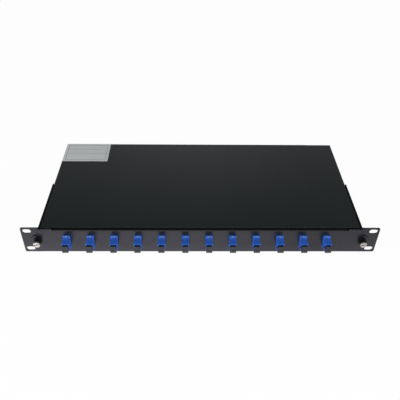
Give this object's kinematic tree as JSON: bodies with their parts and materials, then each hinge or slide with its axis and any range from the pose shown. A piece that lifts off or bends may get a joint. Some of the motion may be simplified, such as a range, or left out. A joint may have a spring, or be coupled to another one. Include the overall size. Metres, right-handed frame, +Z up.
{
  "type": "fibre patch panel",
  "caption": "One-unit rack drawer for fibre: a row of capped blue SC adapters on a dark sliding tray in a black sleeve with slotted ears.",
  "frame": {"origin": "middle of the four rack slots, on the rear face of the ears, which is the rack's mounting plane", "axes": "+X to the right as seen from the front, +Y from the front to the rear, +Z up"},
  "size_m": [0.4826, 0.2243, 0.044],
  "materials": {
    "case_paint": "fine matt black powder coat",
    "drawer_paint": "fine matt dark grey powder coat",
    "zinc_steel": "bright zinc plate",
    "black_screw": "black zinc plate",
    "brass_screw": "yellow zinc plate",
    "adapter_plastic": "moulded blue, satin",
    "holder_plastic": "moulded white",
    "ceramic": "ground zirconia",
    "cap_plastic": "moulded black, matt",
    "thumb_metal": "turned and nickel plated",
    "collar_plastic": "moulded black",
    "grommet_rubber": "moulded black rubber",
    "cassette_plastic": "moulded grey",
    "comb_rubber": "soft grey foam"
  },
  "bodies": {
    "case": {"case_shell": "case_paint", "case_bottom": "case_paint", "entry_plate_left": "case_paint", "entry_plate_right": "case_paint", "ear_left": "case_paint", "ear_right": "case_paint", "ear_screws": "black_screw", "ear_nuts": "zinc_steel", "rail_left": "zinc_steel", "rail_right": "zinc_steel", "rail_rivets": "zinc_steel", "grommet_left": "grommet_rubber", "grommet_right": "grommet_rubber"},
    "drawer": {"drawer_tray": "drawer_paint", "runner_left": "zinc_steel", "runner_right": "zinc_steel", "runner_rivets": "zinc_steel", "adapter_01": "adapter_plastic", "adapter_02": "adapter_plastic", "adapter_03": "adapter_plastic", "adapter_04": "adapter_plastic", "adapter_05": "adapter_plastic", "adapter_06": "adapter_plastic", "adapter_07": "adapter_plastic", "adapter_08": "adapter_plastic", "adapter_09": "adapter_plastic", "adapter_10": "adapter_plastic", "adapter_11": "adapter_plastic", "adapter_12": "adapter_plastic", "adapter_screws": "brass_screw", "adapter_nuts": "zinc_steel", "sleeve_holders": "holder_plastic", "ceramic_sleeves": "ceramic", "rear_caps": "cap_plastic", "thumb_collar_left": "collar_plastic", "thumb_collar_right": "collar_plastic", "splice_cassette": "cassette_plastic", "cassette_lid": "cassette_plastic", "splice_comb": "comb_rubber", "cassette_screws": "zinc_steel", "slack_spools": "cassette_plastic"},
    "thumb_left": {"thumb_screw_left": "thumb_metal"},
    "thumb_right": {"thumb_screw_right": "thumb_metal"},
    "cap_01": {"dust_cap_01": "cap_plastic"},
    "cap_02": {"dust_cap_02": "cap_plastic"},
    "cap_03": {"dust_cap_03": "cap_plastic"},
    "cap_04": {"dust_cap_04": "cap_plastic"},
    "cap_05": {"dust_cap_05": "cap_plastic"},
    "cap_06": {"dust_cap_06": "cap_plastic"},
    "cap_07": {"dust_cap_07": "cap_plastic"},
    "cap_08": {"dust_cap_08": "cap_plastic"},
    "cap_09": {"dust_cap_09": "cap_plastic"},
    "cap_10": {"dust_cap_10": "cap_plastic"},
    "cap_11": {"dust_cap_11": "cap_plastic"},
    "cap_12": {"dust_cap_12": "cap_plastic"}
  },
  "joints": [
    {"name": "drawer_slide", "type": "slide", "parent": "case", "child": "drawer", "axis": [0, -1, 0], "range_m": [0, 0.15]},
    {"name": "thumb_left_turn", "type": "hinge", "parent": "drawer", "child": "thumb_left", "pos_m": [-0.2203, -0.008, 0], "axis": [0, 1, 0], "continuous": true},
    {"name": "thumb_right_turn", "type": "hinge", "parent": "drawer", "child": "thumb_right", "pos_m": [0.2203, -0.008, 0], "axis": [0, 1, 0], "continuous": true},
    {"name": "cap_01_pull", "type": "slide", "parent": "drawer", "child": "cap_01", "axis": [0, -1, 0], "range_m": [0, 0.014]},
    {"name": "cap_02_pull", "type": "slide", "parent": "drawer", "child": "cap_02", "axis": [0, -1, 0], "range_m": [0, 0.014]},
    {"name": "cap_03_pull", "type": "slide", "parent": "drawer", "child": "cap_03", "axis": [0, -1, 0], "range_m": [0, 0.014]},
    {"name": "cap_04_pull", "type": "slide", "parent": "drawer", "child": "cap_04", "axis": [0, -1, 0], "range_m": [0, 0.014]},
    {"name": "cap_05_pull", "type": "slide", "parent": "drawer", "child": "cap_05", "axis": [0, -1, 0], "range_m": [0, 0.014]},
    {"name": "cap_06_pull", "type": "slide", "parent": "drawer", "child": "cap_06", "axis": [0, -1, 0], "range_m": [0, 0.014]},
    {"name": "cap_07_pull", "type": "slide", "parent": "drawer", "child": "cap_07", "axis": [0, -1, 0], "range_m": [0, 0.014]},
    {"name": "cap_08_pull", "type": "slide", "parent": "drawer", "child": "cap_08", "axis": [0, -1, 0], "range_m": [0, 0.014]},
    {"name": "cap_09_pull", "type": "slide", "parent": "drawer", "child": "cap_09", "axis": [0, -1, 0], "range_m": [0, 0.014]},
    {"name": "cap_10_pull", "type": "slide", "parent": "drawer", "child": "cap_10", "axis": [0, -1, 0], "range_m": [0, 0.014]},
    {"name": "cap_11_pull", "type": "slide", "parent": "drawer", "child": "cap_11", "axis": [0, -1, 0], "range_m": [0, 0.014]},
    {"name": "cap_12_pull", "type": "slide", "parent": "drawer", "child": "cap_12", "axis": [0, -1, 0], "range_m": [0, 0.014]}
  ]
}
